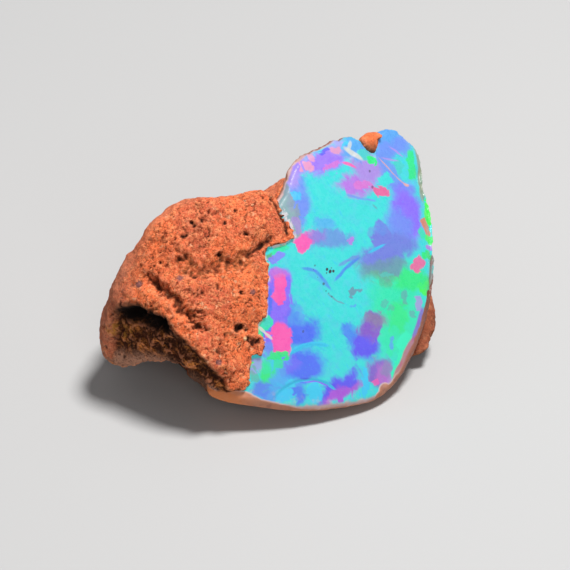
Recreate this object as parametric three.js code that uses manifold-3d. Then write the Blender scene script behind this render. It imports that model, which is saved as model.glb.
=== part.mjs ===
// Rough precious opal still seated in a lump of its host rock, a rusty volcanic tuff.
// Two bodies: the opal, a thick lens with one broad broken face, and the rock that
// holds its left side and wraps its back. Millimetres, +Z up. The origin is on the
// surface that the stone rests on, under the middle of its outline.

import * as THREE from 'three';
import { ConvexGeometry } from 'three/addons/geometries/ConvexGeometry.js';
import { ParametricGeometry } from 'three/addons/geometries/ParametricGeometry.js';
import { ImprovedNoise } from 'three/addons/math/ImprovedNoise.js';
import { TessellateModifier } from 'three/addons/modifiers/TessellateModifier.js';
import { mergeVertices } from 'three/addons/utils/BufferGeometryUtils.js';
import Module from 'manifold-3d';

const wasm = await Module();
wasm.setup();

// ---------------------------------------------------------------- driving dimensions

const GAP = 0.3; // clearance between the opal and the rock around it

// The opal's broad face: its middle, how far it is turned to the right of straight
// ahead, and how far its normal is tilted up.
const FACE_MIDDLE = new THREE.Vector3(7.2, 10.5, 10.5);
const FACE_TURN = THREE.MathUtils.degToRad(37);
const FACE_TILT = THREE.MathUtils.degToRad(41.5);

const RIM_STEPS = 99; // divisions around the opal's rim
const FACE_FALL_LEFT = 0.0145; // how fast the domed face falls away, per square mm:
const FACE_FALL_RIGHT = 0.0115; // towards its left and right ends,
const FACE_FALL_UP = 0.0055; // and towards its upper and lower edges

const ROCK_GRAIN = 1.9; // longest edge of the rock's facets
const ROCK_SPLITS = 24; // rounds of splitting, enough to bring every edge under that
const ROCK_RELAX = 3; // how often the rock's corners are worn down
const ROCK_WEAR = 0.5; // how far each wearing moves a point towards its neighbours
const ROCK_ROUGHNESS = 0.35; // height of the rock's broken surface
const BROAD_LUMPS = 4; // size of its broad lumps,
const SMALL_LUMPS = 1.7; // and of the small ones on them,
const SMALL_SHARE = 0.5; // which stand this much as high

const WELD = 1e-4; // points closer than this are one point
const GROUND_SIZE = 80; // side of the block that levels the stone's foot

// Rim of the opal, seen square on to its face: along it and up it.
const OPAL_RIM = [
  [-15.9, -4.7], [-14.7, -6.1], [-12.5, -7.6], [-10.2, -9.0], [-8.0, -10.0],
  [-4.9, -11.0], [-1.4, -11.6], [1.6, -10.8], [4.5, -9.0], [7.4, -6.5], [10.1, -3.3],
  [11.6, -0.6], [13.3, 2.8], [13.6, 4.4], [14.3, 6.2], [15.3, 8.2], [14.6, 10.2],
  [12.9, 11.8], [11.6, 11.6], [10.6, 10.7], [9.7, 9.9], [9.2, 10.7], [8.6, 12.0],
  [6.5, 12.5], [3.8, 12.5], [0.8, 12.1], [-0.6, 11.1], [-2.0, 9.8], [-4.4, 8.4],
  [-7.6, 6.6], [-9.8, 3.4], [-11.8, 1.2], [-14.2, -1.6],
];

// Section of the opal from the middle of its face, over the rim, to the middle of its
// back: the share of the rim's distance from the middle, and the depth below the face.
const OPAL_SECTION = [
  [0.0, 0.0], [0.3, 0.0], [0.6, 0.0], [0.82, 0.0], [0.96, 0.1], [1.0, 0.5],
  [0.985, 1.2], [0.93, 2.2], [0.83, 3.2], [0.68, 4.2], [0.4, 5.1], [0.0, 5.5],
];

// The window in the rock through which the opal's face shows. Its left side is the
// ragged edge of the rock, and its other sides stay clear of the opal.
const WINDOW = [
  [-17.5, -6.4], [-15.4, -5.5], [-14.2, -6.2], [-13.0, -6.8], [-12.4, -6.4],
  [-12.5, -5.0], [-12.0, -4.0], [-11.6, -2.9], [-10.7, -3.3], [-10.0, -2.9],
  [-9.8, -2.2], [-10.2, -1.4], [-9.9, -0.7], [-8.8, -0.1], [-8.3, 0.9], [-7.2, 2.9],
  [-6.6, 4.2], [-6.7, 5.2], [-6.0, 5.7], [-4.2, 5.4], [-3.0, 5.5], [-2.8, 7.4],
  [-2.9, 8.7], [-3.0, 10.1], [-2.0, 11.0], [-0.8, 11.8], [-0.6, 14.0], [2.0, 18.0],
  [20.0, 18.0], [20.0, -16.0], [-17.5, -16.0],
];
const WINDOW_DEPTH = 2.6;
const WINDOW_HEIGHT = 12;

// Corners of the main lump of rock, to the left of the opal.
const LEFT_LUMP = [
  // crest, from the opal down to the left tip
  [0.8, 14.6, 18.5], [-3.7, 13.2, 18.3], [-6.0, 11.8, 19.5], [-8.0, 11.3, 19.2],
  [-9.9, 10.8, 18.6], [-11.7, 9.8, 16.9], [-13.0, 9.0, 14.8], [-14.4, 8.0, 11.9],
  [-15.9, 7.5, 9.0], [-16.5, 7.2, 5.8], [-16.3, 7.0, 3.7],
  // the ridge across its front, and the broken face above it
  [-14.2, 5.5, 11.3], [-8.7, 1.8, 10.9], [-5.5, 0.0, 6.9], [-4.2, -0.2, 5.2],
  [3.9, 12.2, 15.1], [0.8, 7.4, 12.4], [-0.4, 3.6, 8.4], [-1.2, 0.7, 4.8],
  // lower edge of the overhang
  [-14.4, 6.4, 3.4], [-8.4, 4.4, 3.2], [-5.2, 1.4, 2.9],
  // foot and back
  [-9.5, 11.5, -0.6], [-3.0, 6.0, -0.6], [3.0, 6.0, -0.6], [-14.5, 13.0, 3.0],
  [-13.8, 15.0, 8.0], [-10.6, 17.6, -0.6], [-8.6, 20.4, 9.0], [-5.4, 23.0, -0.6],
  [-3.4, 23.0, 9.6],
];

// Corners of the hollow broken out of its underside, below the ridge.
const UNDERCUT = [
  [-13.6, 5.6, 4.2], [-11.3, 4.6, 5.6], [-8.6, 2.6, 7.2], [-6.7, 1.2, 7.0],
  [-4.8, 0.2, 4.6], [-12.4, 11.0, 3.6], [-8.2, 9.6, 3.2], [-5.4, 5.8, 1.0],
  [-14.2, 0.0, 2.4], [-5.2, -3.0, 2.2], [-14.0, 2.0, -2.0], [-5.2, -1.0, -2.0],
  [-5.4, 5.0, -2.0], [-9.0, 13.0, -2.0], [-14.0, 13.0, -2.0],
];

// Corners of the rock behind and under the opal.
const BACKING = [
  [-3.0, 16.4, 14.0], [2.8, 18.6, 16.8], [8.0, 23.0, 17.6], [11.4, 25.4, 16.6],
  [13.6, 24.8, 12.6], [14.0, 21.5, 7.0], [13.6, 17.0, 2.0], [9.6, 27.4, 12.0],
  [3.4, 26.6, 10.4], [-3.4, 23.0, 9.6], [-8.6, 20.4, 9.0], [11.0, 27.0, 5.0],
  [12.4, 22.6, -0.6], [4.0, 26.0, -0.6], [-5.4, 23.0, -0.6], [-10.6, 17.6, -0.6],
  [12.4, 12.6, -0.6], [9.0, 7.4, -0.6], [2.6, 6.2, -0.6], [-3.0, 6.6, -0.6],
];

// Corners of the small knob of rock beside the opal's lower right edge.
const RIGHT_KNOB = [
  [15.6, 15.8, 7.0], [16.5, 13.2, 4.2], [16.3, 12.0, 2.5], [15.0, 9.8, 1.5],
  [14.8, 18.0, 3.0], [12.0, 14.0, 0.4], [12.4, 10.2, 0.8], [13.4, 19.0, 7.4],
  [10.6, 15.0, 6.0], [15.4, 15.6, 1.4],
];

// Corners of the wedge of rock in the notch at the top of the opal.
const NOTCH_WEDGE = [
  [7.9, 22.7, 18.9], [11.4, 25.0, 18.2], [10.2, 21.6, 16.6], [9.2, 25.8, 17.4],
  [7.6, 23.0, 14.0], [11.8, 24.8, 14.0],
];

// ---------------------------------------------------------------- solids and meshes

// A closed geometry with its vertices shared and no triangle without an area.
function welded(geometry) {
  const bare = geometry.clone();
  bare.deleteAttribute('normal');
  bare.deleteAttribute('uv');
  const shared = mergeVertices(bare, WELD);
  const corners = shared.index.array;
  const kept = [];
  for (let i = 0; i < corners.length; i += 3) {
    const [a, b, c] = corners.slice(i, i + 3);
    if (a !== b && b !== c && c !== a) kept.push(a, b, c);
  }
  shared.setIndex(kept);
  return shared;
}

function solid(geometry) {
  const { index, attributes } = welded(geometry);
  return new wasm.Manifold(new wasm.Mesh({
    numProp: 3,
    vertProperties: new Float32Array(attributes.position.array),
    triVerts: new Uint32Array(index.array),
  }));
}

function namedMesh(name, body, material) {
  const { vertProperties, triVerts } = body.getMesh();
  const geometry = new THREE.BufferGeometry();
  geometry.setAttribute('position', new THREE.BufferAttribute(vertProperties, 3));
  geometry.setIndex(new THREE.BufferAttribute(triVerts, 1));
  geometry.computeVertexNormals();
  const mesh = new THREE.Mesh(geometry, material);
  mesh.name = name;
  return mesh;
}

// Moves every vertex of a welded geometry along its own normal by distance(point).
function pushed(geometry, distance) {
  geometry.computeVertexNormals();
  const { position, normal } = geometry.attributes;
  const point = new THREE.Vector3();
  const outward = new THREE.Vector3();
  for (let i = 0; i < position.count; i++) {
    point.fromBufferAttribute(position, i);
    outward.fromBufferAttribute(normal, i);
    point.addScaledVector(outward, distance(point));
    position.setXYZ(i, point.x, point.y, point.z);
  }
  return geometry;
}

// ---------------------------------------------------------------- the opal

// Places a point given along, up and out of the opal's face.
const faceFrame = new THREE.Matrix4().makeBasis(
  new THREE.Vector3(Math.cos(FACE_TURN), Math.sin(FACE_TURN), 0),
  new THREE.Vector3(
    -Math.sin(FACE_TURN) * Math.sin(FACE_TILT),
    Math.cos(FACE_TURN) * Math.sin(FACE_TILT),
    Math.cos(FACE_TILT),
  ),
  new THREE.Vector3(
    Math.sin(FACE_TURN) * Math.cos(FACE_TILT),
    -Math.cos(FACE_TURN) * Math.cos(FACE_TILT),
    Math.sin(FACE_TILT),
  ),
).setPosition(FACE_MIDDLE);

// The height of the domed face, out of the plane through its middle.
function faceHeight(along, up) {
  const fall = along < 0 ? FACE_FALL_LEFT : FACE_FALL_RIGHT;
  return -fall * along ** 2 - FACE_FALL_UP * up ** 2;
}

function opalGeometry() {
  const corners = OPAL_RIM.map(([along, up]) => new THREE.Vector3(along, up, 0));
  const rim = new THREE.CatmullRomCurve3(corners, true, 'centripetal');
  const rings = OPAL_SECTION.length - 1;
  const surface = (around, across, target) => {
    const [share, depth] = OPAL_SECTION[Math.round(across * rings)];
    const { x: along, y: up } = rim.getPoint(1 - around).multiplyScalar(share);
    target.set(along, up, faceHeight(along, up) - depth);
  };
  return new ParametricGeometry(surface, RIM_STEPS, rings).applyMatrix4(faceFrame);
}

// ---------------------------------------------------------------- the host rock

// Moves each vertex towards the middle of its neighbours, which wears down the corners.
function relax(geometry) {
  const { position } = geometry.attributes;
  const corners = geometry.index.array;
  const sums = Array.from({ length: position.count }, () => new THREE.Vector3());
  const counts = new Array(position.count).fill(0);
  const neighbour = new THREE.Vector3();
  for (let i = 0; i < corners.length; i += 3) {
    for (let side = 0; side < 3; side++) {
      const here = corners[i + side];
      neighbour.fromBufferAttribute(position, corners[i + ((side + 1) % 3)]);
      sums[here].add(neighbour);
      counts[here] += 1;
    }
  }
  sums.forEach((sum, i) => {
    const middle = sum.divideScalar(counts[i]);
    const point = new THREE.Vector3().fromBufferAttribute(position, i).lerp(middle, ROCK_WEAR);
    position.setXYZ(i, point.x, point.y, point.z);
  });
}

const noise = new ImprovedNoise();

// A broken lump: the hull of its corners, worn at the edges and rough all over.
function lump(corners) {
  const hull = new ConvexGeometry(corners.map((corner) => new THREE.Vector3(...corner)));
  const fine = new TessellateModifier(ROCK_GRAIN, ROCK_SPLITS).modify(hull);
  const rough = welded(fine);
  for (let pass = 0; pass < ROCK_RELAX; pass++) relax(rough);
  const swell = (p, size) => noise.noise(p.x / size, p.y / size, p.z / size);
  pushed(rough, (p) => (
    ROCK_ROUGHNESS * (swell(p, BROAD_LUMPS) + SMALL_SHARE * swell(p, SMALL_LUMPS))
  ));
  return solid(rough);
}

// The prism of open space in front of the opal's face.
function openWindow() {
  const outline = new THREE.Shape(WINDOW.map(([x, y]) => new THREE.Vector2(x, y)));
  const depth = WINDOW_DEPTH + WINDOW_HEIGHT;
  const prism = new THREE.ExtrudeGeometry(outline, { depth, bevelEnabled: false });
  prism.translate(0, 0, -WINDOW_DEPTH).applyMatrix4(faceFrame);
  return solid(prism);
}

// Everything below the surface that the stone rests on.
function ground() {
  const block = new THREE.BoxGeometry(GROUND_SIZE, GROUND_SIZE, GROUND_SIZE);
  return solid(block.translate(0, 0, -GROUND_SIZE / 2));
}

function rockSolid() {
  const socket = solid(pushed(welded(opalGeometry()), () => GAP));
  return lump(LEFT_LUMP)
    .subtract(lump(UNDERCUT))
    .add(lump(BACKING))
    .subtract(openWindow())
    .add(lump(RIGHT_KNOB))
    .add(lump(NOTCH_WEDGE))
    .subtract(socket)
    .subtract(ground());
}

// ---------------------------------------------------------------- the finished stone

const opalFinish = new THREE.MeshStandardMaterial({
  name: 'precious_opal', color: 0x48dfe0, roughness: 0.12, metalness: 0,
});
const rockFinish = new THREE.MeshStandardMaterial({
  name: 'tuff', color: 0xb5603c, roughness: 0.9, metalness: 0,
});

const group = new THREE.Group();
group.add(namedMesh('opal', solid(opalGeometry()), opalFinish));
group.add(namedMesh('host_rock', rockSolid(), rockFinish));

// The points above are measured from the front of the stone, so it is now centred.
const middle = new THREE.Box3().setFromObject(group).getCenter(new THREE.Vector3());
group.position.set(-middle.x, -middle.y, 0);

export default group;
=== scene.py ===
"""Rough precious opal in its rusty tuff: the looks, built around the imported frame."""
import math

import bmesh
import bpy
import numpy as np
from mathutils import Euler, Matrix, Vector, noise
from mathutils.bvhtree import BVHTree


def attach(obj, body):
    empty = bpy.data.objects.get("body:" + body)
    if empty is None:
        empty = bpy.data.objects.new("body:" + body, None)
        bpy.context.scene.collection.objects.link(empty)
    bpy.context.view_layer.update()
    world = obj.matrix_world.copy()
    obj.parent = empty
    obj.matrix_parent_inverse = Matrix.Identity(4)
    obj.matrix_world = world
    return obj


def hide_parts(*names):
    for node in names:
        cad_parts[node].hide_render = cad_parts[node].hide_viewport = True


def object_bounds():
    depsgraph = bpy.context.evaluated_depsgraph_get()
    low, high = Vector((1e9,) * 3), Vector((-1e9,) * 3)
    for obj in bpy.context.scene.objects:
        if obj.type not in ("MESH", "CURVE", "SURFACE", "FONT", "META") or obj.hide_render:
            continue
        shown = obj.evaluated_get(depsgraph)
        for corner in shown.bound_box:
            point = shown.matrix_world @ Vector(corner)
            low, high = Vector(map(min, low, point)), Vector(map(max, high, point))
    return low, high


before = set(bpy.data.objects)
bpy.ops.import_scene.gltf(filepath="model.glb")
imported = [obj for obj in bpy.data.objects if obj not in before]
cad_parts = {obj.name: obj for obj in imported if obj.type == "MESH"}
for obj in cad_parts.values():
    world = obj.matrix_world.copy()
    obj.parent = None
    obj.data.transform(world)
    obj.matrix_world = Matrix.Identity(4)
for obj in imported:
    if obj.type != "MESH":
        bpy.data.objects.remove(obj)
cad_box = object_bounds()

MM = 0.001

# the opal's broken face: its middle, how far it is turned and how far it leans back
FACE_MIDDLE = (7.19, -3.133, 10.5)
FACE_TURN = math.radians(37)
FACE_LEAN = math.radians(41.5)
# how fast the domed face falls away towards its left and right ends and its edges
FACE_FALL_LEFT = 0.0145
FACE_FALL_RIGHT = 0.0115
FACE_FALL_UP = 0.0055

# size of the small squares that the rock and the opal are grown from
ROCK_VOXEL = 0.178
OPAL_VOXEL = 0.135
SEED = 41

# the camera stands back from the bench and looks down on the stone
CAMERA_RISE = math.radians(35)
CAMERA_DISTANCE = 0.4
CAMERA_LENS = 266.0
AIM_RIGHT = 1.57 * MM
AIM_DOWN = 1.47 * MM

FLOOR_HALF = 0.6
PAPER = (0.46, 0.455, 0.45)
ROOM_LIGHT = (0.85, 0.87, 0.9)
ROOM_STRENGTH = 0.22


# ---------------------------------------------------------------- meshes

def drop_crumbs(mesh):
    """Keeps only the largest body of a mesh."""
    skin = bmesh.new()
    skin.from_mesh(mesh)
    left = set(skin.verts)
    bodies = []
    while left:
        front = {left.pop()}
        body = set()
        while front:
            body |= front
            front = {edge.other_vert(v) for v in front for edge in v.link_edges} & left
            left -= front
        bodies.append(body)
    bodies.sort(key=len)
    crumbs = [v for body in bodies[:-1] for v in body]
    bmesh.ops.delete(skin, geom=crumbs, context="VERTS")
    skin.to_mesh(mesh)
    skin.free()


def grown(node, name, voxel):
    """A copy of a CAD node as an even, closed skin of small quads."""
    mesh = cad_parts[node].data.copy()
    mesh.materials.clear()
    skin = bmesh.new()
    skin.from_mesh(mesh)
    bmesh.ops.remove_doubles(skin, verts=skin.verts, dist=1e-6)
    skin.to_mesh(mesh)
    skin.free()
    piece = bpy.data.objects.new(name, mesh)
    bpy.context.scene.collection.objects.link(piece)
    remesh = piece.modifiers.new("Grain", "REMESH")
    remesh.mode = "VOXEL"
    remesh.voxel_size = voxel * MM
    bpy.context.view_layer.update()
    ready = piece.evaluated_get(bpy.context.evaluated_depsgraph_get())
    piece.data = bpy.data.meshes.new_from_object(ready)
    piece.modifiers.clear()
    piece.data.name = name
    drop_crumbs(piece.data)
    return piece


def read_points(mesh):
    points = np.empty(len(mesh.vertices) * 3)
    mesh.vertices.foreach_get("co", points)
    return points.reshape(-1, 3) / MM


def write_points(mesh, points):
    mesh.vertices.foreach_set("co", (points * MM).ravel())
    mesh.update()


def read_normals(mesh):
    normals = np.empty(len(mesh.vertices) * 3)
    mesh.vertex_normals.foreach_get("vector", normals)
    return normals.reshape(-1, 3)


def read_edges(mesh):
    edges = np.empty(len(mesh.edges) * 2, dtype=np.int64)
    mesh.edges.foreach_get("vertices", edges)
    return edges.reshape(-1, 2)


def relaxed(values, edges, rounds, share=0.5):
    """Each value moved towards the mean of its neighbours, some rounds over."""
    first, second = edges.T
    size = len(values)
    count = np.bincount(edges.ravel(), minlength=size).astype(float)
    columns = values.reshape(size, -1).copy()
    share = np.broadcast_to(share, size)
    for _ in range(rounds):
        for column in columns.T:
            total = np.bincount(first, column[second], size)
            total += np.bincount(second, column[first], size)
            column += (total / count - column) * share
    return columns.reshape(values.shape)


def mark(mesh, name, columns):
    """Keeps up to three numbers at each point for the finish to read."""
    columns = list(columns) + [np.zeros(len(mesh.vertices))] * (3 - len(columns))
    layer = mesh.attributes.new(name, "FLOAT_VECTOR", "POINT")
    layer.data.foreach_set("vector", np.stack(columns, 1).astype(np.float32).ravel())


def smooth_step(low, high, value):
    share = np.clip((value - low) / (high - low), 0, 1)
    return share * share * (3 - 2 * share)


def swell(points, size, octaves=3, offset=0.0):
    """Soft noise over the points, about -1 to 1, with lumps of that size in mm."""
    shift = Vector((offset, offset * 0.7, -offset))
    return np.array([
        noise.fractal(Vector(p) / size + shift, 1.0, 2.0, octaves) for p in points
    ])


def line_distance(points, line):
    """How far each point lies from a line through several places."""
    best = np.full(len(points), 1e9)
    for start, end in zip(line, line[1:]):
        start, end = np.array(start), np.array(end)
        span = end - start
        along = np.clip((points - start) @ span / (span @ span), 0, 1)
        near = start + along[:, None] * span
        best = np.minimum(best, np.linalg.norm(points - near, axis=1))
    return best


def spot_distance(points, place):
    return np.linalg.norm(points - np.array(place), axis=1)


# the rock's marks are placed as seen from the front, so depth counts for less there
TOWARDS_EYE = np.array([0, -math.cos(CAMERA_RISE), math.sin(CAMERA_RISE)])
FLATTEN = np.eye(3) - 0.7 * np.outer(TOWARDS_EYE, TOWARDS_EYE)


def line_in_sight(points, line):
    return line_distance(points @ FLATTEN, np.array(line) @ FLATTEN)


def spot_in_sight(points, place):
    return spot_distance(points @ FLATTEN, np.array(place) @ FLATTEN)


# ---------------------------------------------------------------- face of the opal

TURN = np.array([math.cos(FACE_TURN), math.sin(FACE_TURN), 0.0])
LEAN = np.array([
    -math.sin(FACE_TURN) * math.sin(FACE_LEAN),
    math.cos(FACE_TURN) * math.sin(FACE_LEAN),
    math.cos(FACE_LEAN),
])
OUT = np.cross(TURN, LEAN)
MIDDLE = np.array(FACE_MIDDLE)


def on_face(points):
    """Places as along, up and out, in mm from the middle of the broken face."""
    apart = points - MIDDLE
    return apart @ TURN, apart @ LEAN, apart @ OUT


def from_face(along, up, out):
    return MIDDLE + np.outer(along, TURN) + np.outer(up, LEAN) + np.outer(out, OUT)


def face_height(along, up):
    fall = np.where(along < 0, FACE_FALL_LEFT, FACE_FALL_RIGHT)
    return -fall * along * along - FACE_FALL_UP * up * up


# where the rock ends over the face, from its top down to the left end: along and up
ROCK_EDGE = (
    (-1.0, 11.5), (-2.3, 10.8), (-3.0, 10.1), (-2.9, 8.7), (-2.8, 7.4), (-3.0, 5.6),
    (-4.0, 5.4), (-6.0, 5.7), (-6.7, 5.2), (-6.6, 4.2), (-7.2, 2.9), (-7.9, 1.9),
    (-8.3, 0.9), (-8.8, -0.1), (-9.5, -0.3), (-10.1, -0.8), (-10.1, -1.5), (-9.8, -2.3),
    (-10.1, -2.9), (-10.7, -3.2), (-11.6, -2.9), (-12.0, -4.0), (-12.4, -5.0),
    (-12.4, -6.0), (-13.2, -6.2), (-14.1, -5.8), (-15.2, -5.0),
)


# ---------------------------------------------------------------- rock

# pits on the front: place, radius and depth
PITS = (
    ((-7.1, -4.1, 17.7), 0.34, 0.35),
    ((-6.9, -4.35, 17.5), 0.26, 0.25),
    ((-6.1, -3.8, 17.7), 0.24, 0.25),
    ((-7.9, -5.1, 16.8), 0.32, 0.28),
    ((-7.55, -5.1, 16.9), 0.22, 0.20),
    ((-2.0, -3.6, 16.1), 0.32, 0.35),
    ((-3.1, -2.2, 17.7), 0.22, 0.20),
    ((-4.0, -3.4, 17.1), 0.22, 0.20),
    ((-4.5, -5.6, 15.1), 0.28, 0.32),
    ((-5.6, -2.0, 18.6), 0.16, 0.20),
    ((-10.1, -6.6, 14.8), 0.20, 0.25),
    ((-11.2, -7.0, 13.9), 0.20, 0.20),
    ((-2.5, -7.9, 12.4), 0.18, 0.20),
    ((-2.8, -9.9, 9.7), 0.52, 0.32),
    ((-2.5, -9.9, 9.8), 0.42, 0.25),
    ((-1.8, -10.3, 8.8), 0.45, 0.40),
    ((-1.4, -10.3, 8.4), 0.50, 0.35),
    ((-0.9, -10.1, 8.3), 0.30, 0.25),
)
# round grey-violet grains, and the one pale grain
NODULES = ((-12.1, -7.5, 13.0), (-8.2, -8.0, 14.1), (-4.5, -12.6, 7.7), (-1.4, -7.6, 12.2))
PALE_GRAIN = (-2.1, -10.3, 8.8)

# lines on the front. The overhang lies between the ridge and the lower edge.
GROOVE = ((-11.0, -7.5, 13.5), (-9.8, -8.7, 13.2), (-8.4, -9.5, 12.7), (-7.8, -10.3, 11.9),
          (-6.4, -10.8, 10.7))
CLEFT = ((-1.9, -4.9, 14.6), (-1.1, -4.5, 14.9), (-0.6, -4.1, 15.0), (0.3, -3.3, 15.3))
RIDGE = ((-13.9, -7.9, 10.8), (-12.9, -8.5, 11.5), (-11.7, -9.3, 11.6), (-10.2, -10.2, 11.4),
         (-8.8, -11.1, 10.6), (-7.4, -12.0, 9.7), (-6.3, -12.5, 8.7), (-5.1, -13.0, 7.2),
         (-4.3, -13.3, 6.2), (-3.3, -13.0, 4.6))
LOWER_EDGE = ((-15.7, -6.9, 6.2), (-14.9, -7.5, 4.6), (-13.5, -8.3, 4.6), (-11.6, -9.8, 5.6),
              (-9.7, -10.9, 6.1), (-7.8, -12.1, 6.0), (-6.4, -12.7, 5.3), (-3.3, -13.0, 3.6))
HOLLOW = ((-13.5, -8.5, 10.1), (-12.4, -9.1, 10.6), (-11.3, -9.9, 10.5), (-10.2, -10.4, 10.2))
DIP = ((-8.0, -6.6, 15.2), (-7.1, -7.3, 14.5), (-6.1, -7.2, 14.2), (-5.0, -6.3, 14.6),
       (-3.5, -6.1, 14.3), (-2.4, -5.6, 14.3))
OCHRE = ((-14.6, -7.7, 7.9), (-13.9, -8.2, 8.8), (-13.4, -8.5, 8.0))
CREASE = ((-3.5, 9.7), (-3.35, 8.3), (-3.4, 7.0), (-3.7, 6.1))  # along and up the face

# the way the streaks under the ridge run, and the way the worn side looks
RIDGE_WAY = (0.85, -0.35, -0.4)
WORN_WAY = (-0.72, 0.25, 0.65)

WEDGE = (9.2, 9.5, 17.9)
WEDGE_TIP = (10.2, 9.3, 17.0)
CONTACT_DEPTH = 0.06  # how far the rock sinks into the opal where they meet
SCATTERED_PITS = 160


def rock_edge_distance(along, up):
    """Distance in the face's plane from the rock's edge."""
    flat = np.stack((along, up), 1)
    return line_distance(flat, ROCK_EDGE)


def slope_level(points, line):
    """Height of a line on the rock's front slope, above each point there."""
    line = np.array(line)
    rake = np.array([0, math.sin(CAMERA_RISE), math.cos(CAMERA_RISE)])
    return np.interp(points[:, 0], line[:, 0], line @ rake) - points @ rake


class RockSkin:
    """The rock's points while they are shaped. Distances are in mm, masks run from 0 to 1."""

    def __init__(self, mesh, opal_tree):
        self.mesh = mesh
        self.opal_tree = opal_tree
        self.points = read_points(mesh)
        self.edges = read_edges(mesh)

    def cut(self, away, depth, start, full, where=1.0):
        """Sinks the skin, from nothing at the start distance to the depth at the full one."""
        self.lift -= depth * smooth_step(start, full, away) * where

    def paint_shade(self, away, shade, start, full, where=1.0):
        """Paints shade into the skin in the same way, for the finish to read."""
        self.hollow = np.maximum(self.hollow, shade * smooth_step(start, full, away) * where)

    def wear_edges(self):
        """Wears the edges down, but not where the rock thins out over the opal."""
        reach = np.array([self.opal_tree.find_nearest(Vector(p))[3] for p in self.points])
        points = relaxed(self.points, self.edges, 2)
        self.points = relaxed(points, self.edges, 7, 0.5 * smooth_step(0.5, 1.6, reach))
        write_points(self.mesh, self.points)
        self.normals = read_normals(self.mesh)

    def meet_opal(self):
        """Finds how near each point is to the opal, and whether it faces it."""
        self.nearest = np.empty_like(self.points)
        self.reach = np.empty(len(self.points))
        facing = np.empty(len(self.points))
        for i, (place, normal) in enumerate(zip(self.points, self.normals)):
            place = Vector(place)
            spot, _, _, self.reach[i] = self.opal_tree.find_nearest(place)
            self.nearest[i] = spot
            facing[i] = Vector(normal).dot((spot - place).normalized())
        self.socket = smooth_step(0.9, 0.45, self.reach) * smooth_step(0.1, 0.5, facing)

    def find_parts(self):
        """Finds the wedge, the knob and the foot, and how freely each point is shaped."""
        level, rise = self.points[:, 2], self.normals[:, 2]
        foot = smooth_step(0.5, 0.1, level) * smooth_step(-0.3, -0.8, rise)
        apart = 0.45 + 0.55 * smooth_step(0.2, 1.4, self.reach)
        self.wedge = smooth_step(2.6, 1.6, spot_distance(self.points, WEDGE))
        self.knob = smooth_step(11.5, 13.0, self.points[:, 0]) * (1 - self.wedge)
        self.free = (1 - self.socket) * (1 - foot) * apart
        self.free *= 1 - 0.75 * self.wedge - 0.4 * self.knob

    def thin_out(self):
        """Near its edge the rock thins down towards the face, and the edge frays."""
        along, up, out = on_face(self.points)
        height = out - face_height(along, up)
        near_edge = rock_edge_distance(along, up)
        thinning = smooth_step(2.4, 0.2, near_edge) * smooth_step(-0.4, 0.1, height)
        height = height * (1 - 0.55 * thinning * (height > 0))
        wobble = 0.22 * smooth_step(1.3, 0.3, near_edge) * smooth_step(0.0, 0.1, height)
        along = along + wobble * swell(self.points, 0.5, 2, 91.0)
        up = up + wobble * swell(self.points, 0.5, 2, 95.0)
        self.points = from_face(along, up, face_height(along, up) + height)
        self.flat = np.stack((along, up), 1)
        self.on_front = height > -1

    def roughen(self):
        """Lumps of three sizes. The upper left side is worn smoother than the rest."""
        way = relaxed(self.normals, self.edges, 20) @ np.array(WORN_WAY)
        self.worn = smooth_step(0.62, 0.9, way)
        self.lift = 0.20 * swell(self.points, 4.2, 3)
        self.lift += 0.17 * swell(self.points, 1.5, 3, 5.0)
        self.lift += 0.12 * swell(self.points, 0.6, 3, 9.0) * (1 - 0.45 * self.worn)
        self.ragged = 0.3 * swell(self.points, 0.8, 3, 17.0)
        self.jagged = 0.22 * swell(self.points, 0.32, 2, 27.0)

    def crack(self):
        """Ragged little holes, and cracks that come and go, darkened with painted shade."""
        holes = smooth_step(0.72, 0.95, swell(self.points, 0.75, 3, 51.0))
        holes = holes * (1 - 0.8 * self.worn)
        # turned, so that the grid of the noise doesn't show along the rock
        self.askew = self.points @ np.array(Euler((0.5, 0.8, 0.3)).to_matrix())
        seams = np.abs(swell(self.askew, 2.6, 4, 61.0))
        seams += 0.12 * smooth_step(0.1, -0.2, swell(self.askew, 3.0, 2, 71.0))
        seams = smooth_step(0.055, 0.0, seams) * (1 - 0.6 * self.worn)
        self.lift -= 0.22 * holes + 0.13 * seams
        self.hollow = np.maximum(0.28 * holes, 0.5 * seams)

    def left_front(self, way, start, full):
        """The left part of the front, as far as it looks that way."""
        x, y, _ = self.points.T
        mask = smooth_step(start, full, self.normals @ np.array(way))
        mask *= smooth_step(-3.0, -5.0, y) * smooth_step(-2.6, -3.6, x)
        return mask * smooth_step(-0.2, 0.5, x + 14.9 + self.jagged)

    def carve_overhang(self):
        """Cuts in under the ridge: deepest just below it, shallow at its lower edge."""
        points = self.points
        self.forward = self.left_front((-0.2, -0.8, 0.57), 0.0, 0.3)
        below_ridge = slope_level(points, RIDGE) + 0.5 * swell(points, 1.7, 4, 12.0)
        drop = np.maximum(below_ridge - slope_level(points, LOWER_EDGE), 0.5)
        self.share_down = below_ridge / drop
        overhang = self.forward * smooth_step(0.0, 0.22, self.share_down)
        overhang *= smooth_step(0.8, 2.2, self.reach)
        depth = 0.45 + 0.7 * smooth_step(-8.5, -11.0, points[:, 0])
        self.lift -= depth * overhang * (1 - 0.85 * smooth_step(0.25, 1.0, self.share_down))

        seen = self.left_front((-0.2, -0.95, 0.15), -0.25, 0.15)
        self.under = seen * smooth_step(-0.3, 0.7, below_ridge + self.ragged + self.jagged)
        inner = self.under * smooth_step(1.0, 0.7, self.share_down)
        self.lift += inner * (0.65 * swell(self.askew, 1.6, 4, 31.0) - 0.05)
        # painted shade, darkest just under the ridge
        deep = self.share_down + self.ragged + self.jagged
        self.paint_shade(deep, 0.75, 0.5, 0.1, self.under)

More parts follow.
